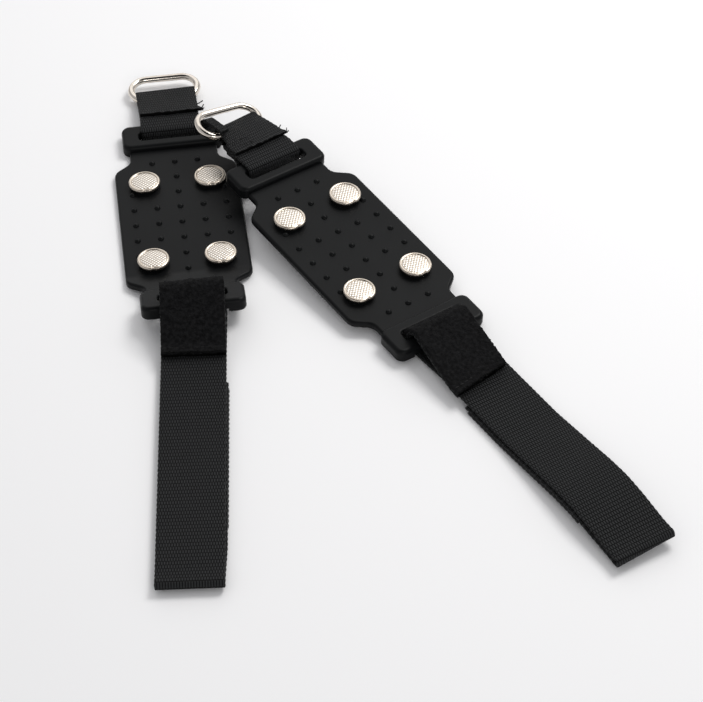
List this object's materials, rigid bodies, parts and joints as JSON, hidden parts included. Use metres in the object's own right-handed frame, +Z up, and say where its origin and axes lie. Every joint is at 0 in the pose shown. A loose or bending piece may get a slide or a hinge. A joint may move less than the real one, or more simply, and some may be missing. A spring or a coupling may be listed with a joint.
{
  "type": "strap-on ice cleats",
  "caption": "Pair of strap-on ice cleats: studded rubber plates with a D-ring tab at one end and a hook-and-loop webbing strap at the other.",
  "frame": {"origin": "centre of the left cleat's underside, which rests on the floor; the studs face up", "axes": "+Z up out of the left plate's studded face, +Y along the left cleat towards its D-ring, +X towards the right cleat"},
  "size_m": [0.1854, 0.3023, 0.0209],
  "materials": {
    "rubber": "satin moulded",
    "stud_steel": "nickel-plated with a knurled face",
    "ring_steel": "polished nickel plate",
    "webbing": "woven polypropylene",
    "loop_pile": "matt brushed loop pile",
    "hook_tape": "woven tape with moulded hooks",
    "thread": "sewing thread"
  },
  "bodies": {
    "left_cleat": {"left_plate": "rubber", "left_stud_1": "stud_steel", "left_stud_2": "stud_steel", "left_stud_3": "stud_steel", "left_stud_4": "stud_steel", "left_rivet_washer_1": "stud_steel", "left_rivet_washer_2": "stud_steel", "left_rivet_washer_3": "stud_steel", "left_rivet_washer_4": "stud_steel", "left_tab_bar_loop": "webbing", "left_strap_bar_loop": "webbing", "left_pile_root": "loop_pile"},
    "left_tab": {"left_tab_webbing": "webbing", "left_tab_stitching": "thread"},
    "left_ring": {"left_d_ring": "ring_steel"},
    "left_strap": {"left_strap_root": "webbing", "left_strap_lap": "webbing", "left_pile_pad": "loop_pile", "left_seam_stitching": "thread"},
    "left_strap_far": {"left_strap_run": "webbing"},
    "left_strap_tail": {"left_strap_return": "webbing", "left_hook_patch": "hook_tape"},
    "right_cleat": {"right_plate": "rubber", "right_stud_1": "stud_steel", "right_stud_2": "stud_steel", "right_stud_3": "stud_steel", "right_stud_4": "stud_steel", "right_rivet_washer_1": "stud_steel", "right_rivet_washer_2": "stud_steel", "right_rivet_washer_3": "stud_steel", "right_rivet_washer_4": "stud_steel", "right_tab_bar_loop": "webbing", "right_strap_bar_loop": "webbing", "right_pile_root": "loop_pile"},
    "right_tab": {"right_tab_webbing": "webbing", "right_tab_stitching": "thread"},
    "right_ring": {"right_d_ring": "ring_steel"},
    "right_strap": {"right_strap_root": "webbing", "right_strap_lap": "webbing", "right_pile_pad": "loop_pile", "right_seam_stitching": "thread"},
    "right_strap_far": {"right_strap_run": "webbing"},
    "right_strap_tail": {"right_strap_return": "webbing", "right_hook_patch": "hook_tape"}
  },
  "joints": [
    {"name": "left_tab_swing", "type": "hinge", "parent": "left_cleat", "child": "left_tab", "pos_m": [0, 0.0641, 0.0052], "axis": [1, 0, 0], "range_deg": [-50, 60]},
    {"name": "left_ring_swing", "type": "hinge", "parent": "left_tab", "child": "left_ring", "pos_m": [0, 0.07938, 0.00317], "axis": [1, 0, 0], "range_deg": [-60, 60]},
    {"name": "left_strap_swing", "type": "hinge", "parent": "left_cleat", "child": "left_strap", "pos_m": [-0.00083, -0.06596, 0.0089], "axis": [-0.9952, 0.0976, 0], "range_deg": [-20, 50]},
    {"name": "left_strap_bend", "type": "hinge", "parent": "left_strap", "child": "left_strap_far", "pos_m": [-0.00334, -0.09154, 0.00345], "axis": [-0.9952, 0.0976, 0], "range_deg": [-60, 90]},
    {"name": "left_strap_unfold", "type": "hinge", "parent": "left_strap_far", "child": "left_strap_tail", "pos_m": [-0.01371, -0.19733, 0.00265], "axis": [-0.9952, 0.0976, 0], "range_deg": [0, 170]},
    {"name": "right_tab_swing", "type": "hinge", "parent": "right_cleat", "child": "right_tab", "pos_m": [0.03494, 0.02484, 0.01561], "axis": [0.8752, 0.4469, -0.1851], "range_deg": [0, 60]},
    {"name": "right_ring_swing", "type": "hinge", "parent": "right_tab", "child": "right_ring", "pos_m": [0.0278, 0.03848, 0.01478], "axis": [0.8752, 0.4469, -0.1851], "range_deg": [0, 60]},
    {"name": "right_strap_swing", "type": "hinge", "parent": "right_cleat", "child": "right_strap", "pos_m": [0.09532, -0.09069, 0.0061], "axis": [-0.9048, -0.4258, 0], "range_deg": [-45, 50]},
    {"name": "right_strap_bend", "type": "hinge", "parent": "right_strap", "child": "right_strap_far", "pos_m": [0.10626, -0.11395, 0.00345], "axis": [-0.9048, -0.4258, 0], "range_deg": [-60, 90]},
    {"name": "right_strap_unfold", "type": "hinge", "parent": "right_strap_far", "child": "right_strap_tail", "pos_m": [0.14884, -0.20443, 0.00265], "axis": [-0.9048, -0.4258, 0], "range_deg": [0, 170]},
    {"name": "right_lift", "type": "slide", "parent": "left_cleat", "child": "right_cleat", "axis": [0, 0, 1], "range_m": [0, 0.15]}
  ]
}
